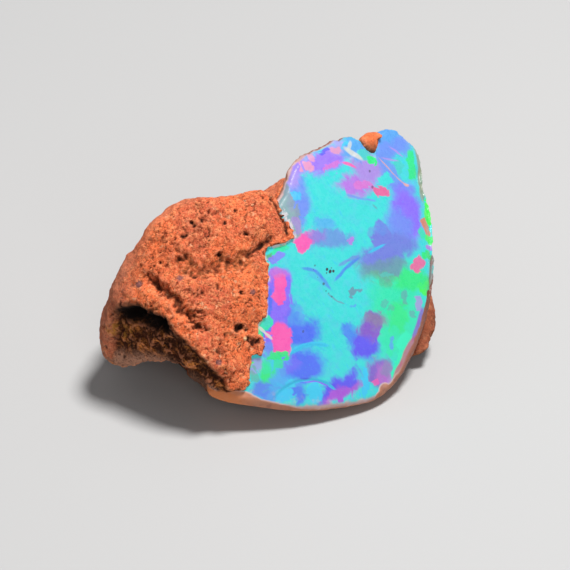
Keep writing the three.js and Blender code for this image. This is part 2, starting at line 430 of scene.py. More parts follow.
    def cut_lines(self):
        """The groove, the cleft, the black hollow, the crease and the dip, each cut in, with
        painted shade in them and at the wedge's tip.
        """
        points, ragged, jagged = self.points, self.ragged, self.jagged
        groove = line_in_sight(points, GROOVE) + ragged * 1.3 + jagged
        self.cut(groove, 0.75, 1.0, 0.0)
        self.paint_shade(groove, 0.55, 0.6, 0.0)
        cleft = line_in_sight(points, CLEFT) + ragged * 0.4 + jagged * 0.4
        self.cut(cleft, 0.5, 0.55, 0.0)
        self.paint_shade(cleft, 0.85, 0.32, 0.08)
        black = line_in_sight(points, HOLLOW) + ragged * 1.3
        self.cut(black, 0.9, 1.4, 0.1)
        self.paint_shade(black + jagged, 1.0, 1.5, 0.7, self.forward)
        self.tip = spot_distance(points, WEDGE_TIP) + ragged
        self.paint_shade(self.tip, 0.6, 1.3, 0.3)
        crease = line_distance(self.flat, CREASE) + 0.4 * jagged
        self.cut(crease, 0.25, 0.3, 0.05, self.on_front)
        self.paint_shade(crease, 0.8, 0.22, 0.08, self.on_front)

        dip = line_in_sight(points, DIP) + ragged * 1.6
        broken = swell(points, 0.8, 4, 81.0)
        self.cut(dip, 1.0, 1.1, 0.1, 0.45 + 0.25 * broken)
        self.dip = smooth_step(1.2, 0.2, dip + ragged)
        self.paint_shade(broken, 0.15, 0.2, 0.55, self.dip)

    def sink_pits(self):
        """The pits that stand at places of their own, each darkened with painted shade."""
        for place, radius, depth in PITS:
            away = spot_in_sight(self.points, place) + self.ragged * 0.3 + self.jagged * 0.7
            self.cut(away, depth, radius, radius * 0.25)
            self.paint_shade(away, 0.9, radius, radius * 0.4)

    def set_grains(self):
        """Round grains, each in a little ring, and the pale grain that stands proud."""
        self.nodules = np.zeros(len(self.points))
        for place in NODULES:
            away = spot_in_sight(self.points, place) + self.jagged * 0.5
            self.cut(away, 0.12, 0.34, 0.22)
            self.cut(away, -0.10, 0.22, 0.1)
            self.nodules = np.maximum(self.nodules, smooth_step(0.34, 0.24, away))
        self.pale = smooth_step(0.22, 0.12, spot_in_sight(self.points, PALE_GRAIN))
        self.lift += 0.3 * self.pale
        self.hollow *= 1 - self.pale

    def lighten_parts(self):
        """The wedge, away from its tip, and the knob get little of the painted shade."""
        unshaded = np.maximum(self.wedge * (self.tip > 1.2), self.knob)
        self.hollow *= 1 - 0.8 * unshaded

    def scatter_pits(self):
        """Little pits at random places, each stretched in a way of its own and darkened with
        painted shade.
        """
        draw = np.random.default_rng(SEED)
        open_points = np.flatnonzero(self.free * (1 - self.worn) > 0.8)
        for spot in draw.choice(open_points, SCATTERED_PITS, replace=False):
            radius = 0.10 + 0.16 * draw.random() ** 3
            stretch = draw.normal(size=3)
            stretch /= np.linalg.norm(stretch)
            apart = self.points - self.points[spot]
            close = np.flatnonzero(np.abs(apart).max(axis=1) < 1.0)
            slip = np.outer(apart[close] @ stretch, stretch) * 0.5
            away = np.linalg.norm(apart[close] - slip, axis=1) + self.jagged[close] * 0.6
            self.lift[close] -= radius * 0.7 * smooth_step(radius, radius * 0.3, away)
            shade = 0.45 * smooth_step(radius, radius * 0.5, away)
            self.hollow[close] = np.maximum(self.hollow[close], shade)

    def seat(self):
        """Lifts the skin, and draws its side that faces the opal onto it, so no gap shows."""
        points = self.points + self.normals * (self.lift * self.free)[:, None]
        away = points - self.nearest
        length = np.maximum(np.linalg.norm(away, axis=1), 1e-6)[:, None]
        sunk = self.nearest - away / length * CONTACT_DEPTH
        points = points * (1 - self.socket[:, None]) + sunk * self.socket[:, None]
        points[:, 2] = np.maximum(points[:, 2], 0)
        self.points = points
        write_points(self.mesh, points)

    def dent(self, normals, rounds):
        """How far each point lies below its surroundings."""
        return ((relaxed(self.points, self.edges, rounds) - self.points) * normals).sum(axis=1)

    def mark_finish(self):
        """Keeps the masks that the finish reads."""
        points = self.points
        normals = read_normals(self.mesh)
        # painted shade on the faces that turn down, and under the ridge
        shaded_low_side = smooth_step(0.15, -0.45, normals[:, 2] + 0.2 * swell(points, 1.2, 2, 21.0))
        ochre = smooth_step(0.9, 0.1, line_in_sight(points, OCHRE) + 1.3 * self.ragged)
        # the lower lip and the left side go greyer and darker: partly the rock's own grey,
        # partly painted shade where they turn from the light
        grey_shaded_edge = smooth_step(0.75, 1.0, self.share_down) * self.under
        across = points[:, 0] + self.ragged + 0.9 * swell(self.askew, 2.0, 3, 33.0)
        left_side = smooth_step(-11.4, -14.6, across)
        grey_shaded_edge = np.maximum(grey_shaded_edge, 0.75 * left_side * (1 - self.under))
        # how deep each point lies in small and broad dents, for painted shade in dents and a
        # painted highlight on proud edges
        dents = self.dent(normals, 5), self.dent(normals, 40)
        mark(self.mesh, "painted_shading", (self.hollow, *dents))
        mark(self.mesh, "shade_and_tints", (np.maximum(shaded_low_side, self.under), ochre, self.dip))
        mark(self.mesh, "edges", (grey_shaded_edge, self.wedge, self.knob))
        mark(self.mesh, "grains", (self.nodules, self.pale, self.worn * (1 - self.under)))


def build_rock(opal_tree):
    piece = grown("host_rock", "rusty_rock", ROCK_VOXEL)
    skin = RockSkin(piece.data, opal_tree)
    skin.wear_edges()
    skin.meet_opal()
    skin.find_parts()
    skin.thin_out()
    skin.roughen()
    skin.crack()
    skin.carve_overhang()
    skin.cut_lines()
    skin.sink_pits()
    skin.set_grains()
    skin.lighten_parts()
    skin.scatter_pits()
    skin.seat()
    skin.mark_finish()
    piece.data.shade_smooth()
    return piece


# ---------------------------------------------------------------- opal

# broken scars on the face: middle, radius, depth, and the stretch of edge that shows
SCARS = (
    ((-8.8, -11.05), 4.15, 0.16, (-8.0, -8.0), 3.8),
    ((-6.75, -7.8), 3.6, 0.07, (-6.2, -4.6), 2.6),
    ((4.8, -12.4), 13.9, 0.06, (2.4, 1.0), 3.6),
    ((-4.8, -0.2), 3.0, 0.06, (-2.6, 1.4), 2.2),
    ((6.0, 14.6), 4.3, 0.12, (6.6, 10.8), 1.9),
)
SCAR_FALL = 1.2  # how fast a scar grows shallower away from its edge

# the step down to the right lobe, the bevelled rim and the outer skin's lines and spot
LOBE_STEP = ((9.6, 9.9), (10.0, 8.9), (10.6, 7.4), (11.5, 6.0), (13.6, 5.4))
RIGHT_RIM = ((9.0, -4.6), (10.1, -3.3), (11.6, -0.6), (13.3, 2.8), (13.6, 4.4), (14.3, 6.2))
SKIN_RIM = (
    (8.9, -4.5), (7.5, -5.9), (6.3, -7.2), (4.2, -8.9), (2.1, -10.3), (0.9, -10.9),
    (-1.1, -11.4),
)
SKIN_LEFT = (
    (-16.0, -4.2), (-14.4, -5.0), (-13.0, -5.9), (-12.5, -6.5), (-12.0, -7.1),
    (-10.0, -8.6), (-8.0, -10.0),
)
SKIN_SPOT = (-0.3, -11.1)


def right_of(along, up, line):
    """How far the places lie to the right of a line that runs from top to bottom."""
    levels = np.array([place[1] for place in line])
    across = np.array([place[0] for place in line])
    order = np.argsort(levels)
    return along - np.interp(up, levels[order], across[order])


def face_noise(along, up, size, octaves, offset=0.0):
    """Soft noise over the face, the same at every depth."""
    return swell(np.stack((along, up, 0 * up), 1), size, octaves, offset)


def scar_depth(along, up):
    """How far the face is broken away by its shell-shaped scars."""
    flat = np.stack((along, up), 1)
    drop = -0.03 * face_noise(along, up, 3.0, 2)
    for (x, y), radius, depth, middle, reach in SCARS:
        inside = radius - np.hypot(along - x, up - y)
        shown = smooth_step(reach, reach * 0.5, spot_distance(flat, middle))
        fall = np.exp(-np.maximum(inside, 0) / SCAR_FALL)
        drop += depth * smooth_step(-0.1, 0.15, inside) * fall * shown
    return drop


def lobe_depth(along, up):
    """The step down to the right lobe, which rises again away from it."""
    past_step = right_of(along, up, LOBE_STEP) + 0.08 * face_noise(along, up, 0.8, 2, 4.0)
    on_lobe = smooth_step(-0.1, 0.12, past_step) * smooth_step(5.2, 6.4, up)
    return on_lobe * (0.22 - 0.03 * np.maximum(past_step, 0))


def bevel_depth(along, up):
    """The bevel down the right side."""
    rim = line_distance(np.stack((along, up), 1), RIGHT_RIM)
    rim = rim + 0.2 * face_noise(along, up, 1.1, 2, 6.0)
    return 0.5 * smooth_step(1.5, 0.1, rim) ** 2


def rim_chips(points, normals, along, up):
    """Chips around the rim, most of all along its top and right side."""
    most = 0.05 + 0.10 * smooth_step(-2.0, 4.0, up + 0.5 * along)
    side = 1 - smooth_step(0.55, 0.85, np.abs(normals @ OUT))
    return most * side * (swell(points, 0.9, 3, 2.0) + 0.4 * swell(points, 0.35, 2, 8.0))


def skin_depth(along, up, flat):
    """Extra depth that brings the outer skin onto the face, or keeps it off."""
    lower = smooth_step(-5.0, -8.5, up - 0.25 * np.abs(along + 3))
    right = smooth_step(7.0, 9.5, along) * smooth_step(-4.0, -2.0, up)
    left = smooth_step(0.1, -0.25, up - np.interp(along, *zip(*SKIN_LEFT)))
    left *= smooth_step(-8.0, -10.0, along)
    rim = line_distance(flat, SKIN_RIM) + 0.1 * face_noise(*flat.T, 0.8, 2, 9.0)
    rim = smooth_step(0.55, 0.15, rim)
    rim = np.maximum(rim, smooth_step(0.8, 0.5, spot_distance(flat, SKIN_SPOT)))
    return 0.22 * lower - 0.3 * right + 0.4 * left + 0.4 * rim


def build_opal():
    piece = grown("opal", "opal_stone", OPAL_VOXEL)
    mesh = piece.data
    points = relaxed(read_points(mesh), read_edges(mesh), 4)
    write_points(mesh, points)
    normals = read_normals(mesh)
    along, up, out = on_face(points)
    flat = np.stack((along, up), 1)
    front = smooth_step(0.45, 0.75, normals @ OUT)
    out = out * (1 - front) + np.minimum(out, face_height(along, up)) * front
    drop = (scar_depth(along, up) + lobe_depth(along, up) + bevel_depth(along, up)) * front
    out -= drop
    chip = rim_chips(points, normals, along, up)
    points = from_face(along, up, out) + normals * chip[:, None]
    points[:, 2] = np.maximum(points[:, 2], 0)
    write_points(mesh, points)

    # the finish reads the place on the face, and the depth below its broken surface
    along, up, out = on_face(points)
    depth = face_height(along, up) - out - drop + skin_depth(along, up, flat)
    mark(mesh, "stone", (along, up, depth))
    mark(mesh, "contact", (rock_edge_distance(along, up),))
    mesh.shade_smooth()
    return piece


# ---------------------------------------------------------------- finishes

class Wire:
    """A socket in a finish. Sums and products of wires add Math nodes."""

    def __init__(self, finish, socket):
        self.finish = finish
        self.socket = socket

    def math(self, operation, *others, clamp=False):
        values = dict(enumerate((self, *others)))
        return self.finish.node("Math", {"operation": operation, "use_clamp": clamp}, values)

    def __add__(self, other):
        return self.math("ADD", other)

    __radd__ = __add__

    def __sub__(self, other):
        return self.math("SUBTRACT", other)

    def __rsub__(self, other):
        return self.finish.node("Math", {"operation": "SUBTRACT"}, {0: other, 1: self})

    def __mul__(self, other):
        return self.math("MULTIPLY", other)

    __rmul__ = __mul__

    def between(self, low, high, start=0.0, end=1.0):
        """A soft step from start at low to end at high."""
        return self.finish.node("MapRange", {"interpolation_type": "SMOOTHSTEP"}, {
            "Value": self, "From Min": low, "From Max": high, "To Min": start, "To Max": end,
        })


class Finish:
    """One material and the nodes in it."""

    def __init__(self, name):
        self.material = bpy.data.materials.new(name)
        self.material.use_nodes = True
        self.tree = self.material.node_tree
        self.tree.nodes.clear()

    def node(self, kind, settings=None, sockets=None, give=0):
        made = self.tree.nodes.new("ShaderNode" + kind)
        for key, value in (settings or {}).items():
            setattr(made, key, value)
        for key, value in (sockets or {}).items():
            socket = made.inputs[key]
            if isinstance(value, Wire):
                self.tree.links.new(value.socket, socket)
            elif isinstance(value, tuple) and len(value) == 3 and socket.type == "RGBA":
                socket.default_value = (*value, 1)
            else:
                socket.default_value = value
        return Wire(self, made.outputs[give]) if len(made.outputs) else None

    def attribute(self, name):
        return self.node("Attribute", {"attribute_name": name}, give="Vector")

    def parts(self, vector):
        split = self.node("SeparateXYZ", None, {0: vector})
        outputs = split.socket.node.outputs
        return tuple(Wire(self, outputs[axis]) for axis in "XYZ")

    def noise(self, place, scale, detail=3.0, roughness=0.55, give="Fac"):
        return self.node("TexNoise", None, {
            "Vector": place, "Scale": scale, "Detail": detail, "Roughness": roughness,
        }, give)

    def mix(self, under, over, share):
        return self.node("Mix", {"data_type": "RGBA"}, {0: share, 6: under, 7: over}, 2)

    def layered(self, tone, layers):
        """Colours laid over one another, each as far as its share."""
        for over, share in layers:
            tone = self.mix(tone, over, share)
        return tone

    def bump(self, strength, distance, height):
        return self.node("Bump", None, {
            "Strength": strength, "Distance": distance * MM, "Height": height,
        })

    def vector(self, operation, first, second):
        return self.node("VectorMath", {"operation": operation}, {0: first, 1: second})

    def scaled(self, vector, amount):
        return self.node("VectorMath", {"operation": "SCALE"}, {0: vector, "Scale": amount})

    def strayed(self, place, pattern, amount):
        """The place moved by a coloured pattern, by up to half the amount each way."""
        stray = self.vector("SUBTRACT", pattern, (0.5, 0.5, 0.5))
        return self.vector("ADD", place, self.scaled(stray, amount))

    def within(self, place, x, y, long, wide, turn):
        """A place told in half lengths and half widths from the middle of a patch."""
        turned = self.node("VectorRotate", {"rotation_type": "Z_AXIS"}, {
            "Vector": place, "Center": (x, y, 0), "Angle": -math.radians(turn),
        })
        return self.node("VectorMath", {"operation": "MULTIPLY_ADD"}, {
            0: turned, 1: (1 / long, 1 / wide, 0), 2: (-x / long, -y / wide, 0),
        })

    def shine(self, sockets):
        shader = self.node("BsdfPrincipled", None, sockets)
        self.node("OutputMaterial", None, {"Surface": shader})
        return self.material


def colour(red, green, blue):
    """A colour as seen on a screen, 0 to 255, turned to light."""
    def light(value):
        value /= 255
        return value / 12.92 if value <= 0.04045 else ((value + 0.055) / 1.055) ** 2.4
    return light(red), light(green), light(blue)


# the opal's colours
TURQUOISE = colour(72, 227, 224)
AQUA = colour(84, 218, 230)
CYAN = colour(72, 208, 250)
SKY = colour(98, 168, 245)
BLUE = colour(90, 122, 250)
ROYAL = colour(105, 98, 246)
VIOLET = colour(146, 118, 255)
PURPLE = colour(165, 128, 255)
HAZE = colour(120, 150, 246)
DUSK = colour(120, 134, 226)
SLATE = colour(114, 154, 178)
MAUVE = colour(188, 128, 232)
LILAC = colour(180, 155, 240)
PINK = colour(255, 100, 186)
ORCHID = colour(222, 125, 214)
ROSE = colour(236, 112, 165)
BLUSH = colour(240, 160, 195)
DULL_ROSE = colour(196, 106, 132)
PEACH = colour(236, 172, 165)
MAGENTA = colour(184, 96, 222)
PLUM = colour(142, 100, 208)
ASH = colour(148, 134, 172)
GREEN = colour(62, 238, 140)
LIME = colour(80, 252, 98)
SEA = colour(62, 236, 180)
GLOW = colour(64, 246, 196)
TEAL = colour(82, 214, 208)
OLIVE = colour(108, 180, 135)
ORANGE = colour(230, 130, 100)
GREY = colour(150, 166, 172)
BROWN = colour(150, 98, 92)
TAN = colour(158, 164, 138)
SOOT = colour(70, 74, 78)
# painted highlight, for glints on small steps of the face
CREAM_HIGHLIGHT = colour(226, 226, 216)
VEIL = colour(90, 110, 200)
CHIPPED = colour(232, 222, 226)
SKIN = colour(176, 120, 94)
DARK_SKIN = colour(150, 100, 84)
PALE_SKIN = colour(206, 186, 190)
BROWN_SKIN = colour(132, 80, 66)
DEEP_SKIN = colour(98, 54, 46)
AMBER = colour(214, 118, 52)
SKIN_PAINTED_GLOW = (0.03, 0.015, 0.008)
BLACK = (0, 0, 0)

# broad patches of colour with soft edges, as places on the face, along and up it:
# middle, half length, half width, turn in degrees, colour, share
CLOUDS = (
    (-0.6, 9.4, 2.4, 0.9, 70, HAZE, 0.9),
    (-1.2, 4.9, 1.1, 0.5, -15, ORCHID, 0.85),
    (-2.3, 4.9, 0.8, 0.5, 10, PINK, 1.0),
    (-1.3, 7.7, 1.3, 0.5, 75, HAZE, 0.8),
    (0.2, 11.4, 1.9, 1.0, 20, LILAC, 0.9),
    (3.6, 11.0, 2.5, 0.9, -4, PURPLE, 1.0),
    (5.8, 11.8, 1.0, 0.7, 0, LILAC, 0.8),
    (8.0, 8.9, 1.7, 1.3, -20, MAUVE, 0.85),
    (5.5, 7.8, 1.7, 0.8, -20, MAUVE, 1.0),
    (10.4, 7.0, 2.4, 0.9, 93, HAZE, 0.85),
    (7.8, 11.0, 1.2, 1.0, 0, SKY, 0.9),
    (12.5, 10.6, 2.4, 1.4, -10, SKY, 0.95),
    (13.4, 9.6, 1.3, 0.8, 0, VIOLET, 0.35),
    (11.2, 9.6, 1.3, 0.8, 0, HAZE, 0.8),
    (10.6, 5.0, 1.6, 1.2, 20, HAZE, 0.75),
    (9.9, 3.3, 2.3, 1.5, 63, VIOLET, 1.0),
    (8.4, 2.4, 1.6, 1.3, 63, HAZE, 0.9),
    (4.2, -4.3, 4.4, 2.4, 50, SEA, 0.9),
    (7.2, 1.0, 2.2, 1.0, -15, DUSK, 0.95),
    (0.3, 4.1, 2.0, 0.85, -20, DUSK, 0.75),
    (0.6, 5.7, 0.9, 0.5, -10, SKY, 0.7),
    (4.8, 0.6, 2.2, 0.9, -12, DUSK, 1.0),
    (4.6, -0.5, 2.4, 0.8, -15, SLATE, 0.9),
    (4.2, -1.3, 1.8, 0.5, -18, OLIVE, 0.55),
    (-6.2, -2.9, 1.7, 1.1, -20, BLUE, 1.0),
    (-5.9, -1.1, 0.7, 1.0, 0, SKY, 0.7),
    (-9.6, -3.0, 0.7, 1.1, -20, HAZE, 1.0),
    (-10.2, -6.0, 1.9, 1.2, 40, CYAN, 1.0),
    (-9.8, -5.9, 0.9, 0.6, 20, SKY, 0.7),
    (-7.2, -5.9, 1.7, 1.3, -20, BLUE, 1.0),
    (-8.2, -5.2, 0.9, 0.7, 30, VIOLET, 0.4),
    (-11.8, -6.5, 0.9, 0.7, -15, ROYAL, 0.7),
    (-10.6, -7.3, 0.8, 0.5, -15, SKY, 0.8),
    (-11.4, -4.0, 0.5, 0.7, -20, MAUVE, 0.6),
    (-10.8, -5.2, 0.95, 0.55, 63, GREEN, 1.0),
    (-8.6, -8.0, 0.7, 0.8, 0, BLUE, 0.9),
    (-4.8, -9.3, 1.9, 0.9, 10, ROYAL, 1.0),
    (-4.7, -9.8, 1.8, 0.6, 8, MAGENTA, 0.9),
    (-3.5, -8.9, 0.9, 0.5, 30, ROYAL, 0.9),
    (-0.3, -9.5, 1.1, 1.1, 0, PLUM, 0.95),
    (0.2, -9.9, 0.7, 0.9, 0, ORCHID, 0.5),
    (0.6, -9.4, 0.5, 0.7, 0, SLATE, 0.5),
    (0.0, -5.6, 1.7, 0.9, 51, PLUM, 0.95),
    (7.4, -2.8, 1.9, 0.8, -15, GREEN, 0.95),
    (3.9, -5.3, 1.6, 0.8, 50, GREEN, 0.8),
    (8.6, -3.7, 0.8, 0.6, 0, LIME, 0.6),
    (-1.7, -5.0, 0.7, 0.9, 0, BLUE, 0.8),
)

# patches with crisp edges, told in the same way
FLAKES = (
    (-2.25, 8.1, 2.5, 0.75, 78, GREY, 0.85),
    (-2.2, 6.6, 0.8, 0.4, 78, MAUVE, 0.5),
    (-0.9, 9.2, 0.4, 0.35, 0, CYAN, 0.8),
    (4.1, 10.4, 1.1, 0.25, 5, ORCHID, 0.8),
    (4.3, 11.9, 0.6, 0.22, 0, ROYAL, 0.9),
    (1.6, 11.2, 0.6, 0.4, 63, BLUSH, 0.9),
    (2.6, 11.9, 0.4, 0.28, 63, BLUSH, 0.8),
    (5.5, 11.7, 0.55, 0.35, 0, BLUSH, 0.8),
    (6.6, 7.5, 1.0, 0.4, -12, ORCHID, 0.9),
    (8.1, 6.3, 0.85, 0.52, -20, ROSE, 1.0),
    (9.4, 7.1, 0.75, 0.55, 0, TURQUOISE, 1.0),
    (8.3, 10.2, 0.7, 0.45, -30, TEAL, 0.9),
    (8.9, 9.4, 0.5, 0.35, -20, GREEN, 1.0),
    (6.8, 11.75, 0.5, 0.2, 0, CYAN, 0.8),
    (13.3, 7.4, 1.5, 0.42, 63, GREEN, 0.9),
    (11.9, 7.9, 0.6, 0.45, 30, TEAL, 0.9),
    (12.6, 8.5, 0.35, 0.2, 60, AQUA, 0.9),
    (5.8, 2.7, 1.15, 1.0, 20, DUSK, 1.0),
    (-2.5, 4.7, 0.75, 0.5, 20, PINK, 0.9),
    (2.3, 3.1, 0.38, 0.22, 63, MAUVE, 0.9),
    (-5.0, 5.0, 0.9, 0.28, 0, SEA, 1.0),
    (-6.0, 4.8, 0.35, 0.3, 0, OLIVE, 0.9),
    (-5.5, 4.35, 0.65, 0.35, 0, VIOLET, 0.8),
    (-6.5, 3.2, 0.4, 0.3, 63, MAUVE, 0.9),
    (-7.4, 0.2, 3.3, 1.22, 63, VIOLET, 1.0),
    (-8.5, 0.2, 2.2, 0.35, 63, BLUE, 0.85),
    (-6.3, 1.9, 0.9, 0.5, 75, PINK, 1.0),
    (-6.75, 1.05, 0.62, 0.6, 20, PINK, 1.0),
    (-8.15, -2.75, 1.42, 0.84, 66, PINK, 1.0),
    (-8.9, -1.7, 0.5, 0.3, -20, PINK, 0.9),
    (-9.0, -0.7, 0.6, 0.45, 0, SEA, 1.0),
    (-9.8, -1.1, 0.2, 0.45, 0, GREEN, 0.9),
    (-9.1, -4.15, 0.9, 0.33, -20, GREEN, 0.95),
    (-9.4, -4.8, 0.45, 0.4, 63, GREEN, 0.7),
    (-11.8, -3.4, 0.55, 0.16, 100, LIME, 0.9),
    (-11.9, -4.9, 0.3, 0.6, 0, OLIVE, 0.5),
    (-9.4, -5.6, 0.4, 0.35, 0, SKY, 0.8),
    (-9.8, -7.6, 0.8, 0.40, 0, CYAN, 0.9),
    (-7.1, -8.7, 0.60, 0.75, 0, CYAN, 0.9),
    (-2.2, -9.8, 1.2, 0.36, 66, CYAN, 1.0),
    (-0.9, -10.1, 0.38, 0.28, 0, PINK, 0.7),
    (0.5, -5.5, 1.9, 0.75, 51, PLUM, 0.9),
    (2.2, -7.2, 1.5, 0.35, 50, SEA, 0.8),
    (3.5, -7.8, 1.15, 0.55, 46, GLOW, 0.9),
    (2.1, -9.3, 1.4, 0.36, 46, GLOW, 1.0),
    (5.4, -3.8, 0.6, 0.3, 63, SLATE, 0.6),
    (6.8, -4.9, 0.6, 0.4, 63, MAUVE, 0.7),
    (5.6, -5.5, 0.4, 0.3, 63, SLATE, 0.6),
    (3.2, -3.6, 0.5, 0.3, 20, SLATE, 0.45),
    (3.6, -4.3, 0.3, 0.25, 20, SLATE, 0.4),
    (4.6, -1.1, 0.7, 0.2, -15, TEAL, 0.5),
    (0.4, -1.4, 0.75, 0.2, 5, SLATE, 0.9),
    (-0.4, -2.4, 0.45, 0.12, 10, SKY, 0.8),
    (2.1, -7.3, 0.42, 0.2, 63, SKY, 0.8),
    (1.0, -8.4, 0.35, 0.18, 63, TEAL, 0.8),
    (13.2, 2.7, 1.1, 0.8, 63, LIME, 1.0),
    (11.7, 1.4, 0.5, 0.7, 0, ORANGE, 0.9),
    (11.6, 0.3, 0.8, 0.4, -20, LIME, 0.9),
    (10.6, 1.2, 0.3, 0.5, 0, SEA, 0.8),
    (11.1, -0.5, 0.7, 0.3, -20, MAUVE, 0.9),
    (10.3, -1.2, 0.7, 0.35, -20, GREEN, 1.0),
    (8.7, -1.6, 0.85, 0.5, 10, ROSE, 0.95),
    (8.1, -4.2, 0.35, 0.3, 0, LIME, 0.9),
)

# soft shades laid over the patches, told in the same way
SHADES = (
    (1.3, -4.5, 1.2, 0.6, -20, ASH, 0.85),
    (-0.9, -6.7, 1.2, 1.1, -20, ROYAL, 1.0),
    (-6.1, 2.9, 0.8, 0.5, -20, ORCHID, 0.7),
    (-6.4, -1.1, 0.5, 0.9, -20, BLUE, 0.5),
    (-8.9, -0.6, 0.4, 0.3, -20, TEAL, 0.7),
    (4.9, 3.4, 0.7, 0.5, 30, TURQUOISE, 0.5),
    (6.2, 3.3, 0.8, 0.4, -20, SKY, 0.35),
    (-10.6, -4.7, 0.5, 0.4, -20, SEA, 0.6),
)

# fine strokes, through several places: half width, colour, share
STROKES = (
    (((5.6, 10.2), (6.5, 9.4)), 0.17, PINK, 0.9),
    # painted highlights on small facets beside the notch
    (((6.7, 11.3), (7.7, 10.0)), 0.3, CREAM_HIGHLIGHT, 0.85),
    (((7.5, 11.7), (6.9, 11.2)), 0.2, CREAM_HIGHLIGHT, 0.7),
    (((11.9, 9.9), (12.8, 8.7)), 0.12, LILAC, 0.9),
    (((10.4, 9.2), (11.9, 8.4)), 0.11, LILAC, 0.8),
    # painted highlight along the step down to the right lobe
    (((10.0, 9.2), (10.6, 7.5), (11.3, 6.2)), 0.12, PEACH, 0.8),
    (((11.4, 6.1), (11.6, 5.9)), 0.2, PEACH, 0.9),
    (((3.8, 1.4), (5.7, 1.5)), 0.15, CYAN, 0.9),
    (((4.3, 7.2), (5.0, 6.8), (5.9, 6.2)), 0.12, HAZE, 0.7),
    (((6.1, 6.2), (7.0, 5.7)), 0.12, HAZE, 0.7),
    (((6.6, 5.4), (6.8, 5.0)), 0.1, SLATE, 0.6),
    (((-3.4, 2.5), (-2.5, 1.85), (-2.1, 1.1), (-1.8, -0.2)), 0.17, BLUE, 0.6),
    (((-0.8, 0.35), (0.6, 0.95), (2.3, 1.3)), 0.16, BLUE, 0.7),
    (((0.2, 1.4), (1.2, 1.5), (2.2, 1.5)), 0.18, DUSK, 0.65),
    (((-3.0, 1.6), (-2.3, 0.9), (-2.0, 0.2)), 0.3, SKY, 0.35),
    (((-2.2, -0.7), (-1.6, -1.6), (-1.1, -2.0)), 0.09, SLATE, 0.7),
    (((-7.8, -4.3), (-6.7, -4.1), (-5.5, -4.4), (-4.4, -5.0)), 0.22, CYAN, 0.9),
    (((-10.6, -7.3), (-9.0, -6.9), (-7.9, -7.0), (-6.8, -7.5), (-5.8, -8.2), (-5.2, -9.0)),
     0.13, CYAN, 0.9),
    (((-7.6, -7.25), (-6.6, -7.8), (-5.7, -8.5)), 0.08, VIOLET, 0.9),
    # a painted highlight
    (((-9.7, -0.8), (-9.4, -1.6), (-9.1, -2.3)), 0.13, CREAM_HIGHLIGHT, 0.85),
    (((15.2, 8.6), (14.4, 6.6), (13.6, 5.2), (12.9, 4.3)), 0.42, TAN, 0.85),
    (((11.9, -0.9), (10.6, -1.9), (9.4, -3.7)), 0.28, BROWN, 0.8),
    (((7.0, -5.6), (6.0, -6.6), (4.7, -7.8)), 0.3, PLUM, 0.85),
    (((4.7, -7.8), (2.3, -9.5), (0.8, -11.0)), 0.34, DULL_ROSE, 0.85),
    (((-0.6, -11.0), (0.6, -10.9)), 0.28, BROWN, 0.6),
    (((-0.8, 11.1), (0.4, 12.0), (2.4, 12.5), (5.6, 12.6)), 0.28, PEACH, 0.75),
)

# dark specks in the stone: middle, size, share
SPECKS = (
    ((-1.3, 1.5), 0.15, 1.0), ((-1.05, 1.2), 0.17, 1.0), ((-0.75, 1.1), 0.13, 1.0),
    ((-1.45, 1.2), 0.08, 0.8), ((-0.8, 1.45), 0.07, 0.8), ((-2.5, 1.2), 0.05, 0.7),
    ((-2.2, 0.4), 0.14, 0.7), ((-2.3, -0.3), 0.08, 0.7), ((-2.15, -0.6), 0.07, 0.6),
    ((-2.0, -1.0), 0.09, 0.6), ((-2.3, 2.3), 0.10, 0.6), ((-6.0, -2.9), 0.12, 0.6),
    ((8.0, 8.5), 0.14, 0.6), ((7.4, 7.0), 0.16, 0.6), ((-2.6, 2.0), 0.06, 0.5),
)


# how far from its middle a patch ends and where it is full, in its own half lengths
CLOUD_EDGE = (1.6, 0.75)
SHADE_EDGE = (1.6, 0.6)
STROKE_EDGE = (1.3, 0.7)
SPECK_EDGE = (1.3, 0.8)
FLAKE_EDGE = (1.5, 0.95)  # of the squares, which make a flake nearly square


def patch(look, play, place, shape, tone, share, edge, square=False):
    """A patch of colour laid over the play of colour, round or nearly square."""
    spot = look.within(place, *shape)
    if square:
        spot = look.vector("MULTIPLY", spot, spot)
    away = look.node("VectorMath", {"operation": "LENGTH"}, {0: spot}, "Value")
    return look.mix(play, tone, away.between(*edge) * share)


def stroke_patches(look, play, place, line, wide, tone, share):
    """A fine stroke, as a long patch between each two places of its line."""
    for (x0, y0), (x1, y1) in zip(line, line[1:]):
        long = math.hypot(x1 - x0, y1 - y0) * 0.5 + wide
        turn = math.degrees(math.atan2(y1 - y0, x1 - x0))
        shape = ((x0 + x1) / 2, (y0 + y1) / 2, long, wide, turn)
        play = patch(look, play, place, shape, tone, share, STROKE_EDGE)
    return play


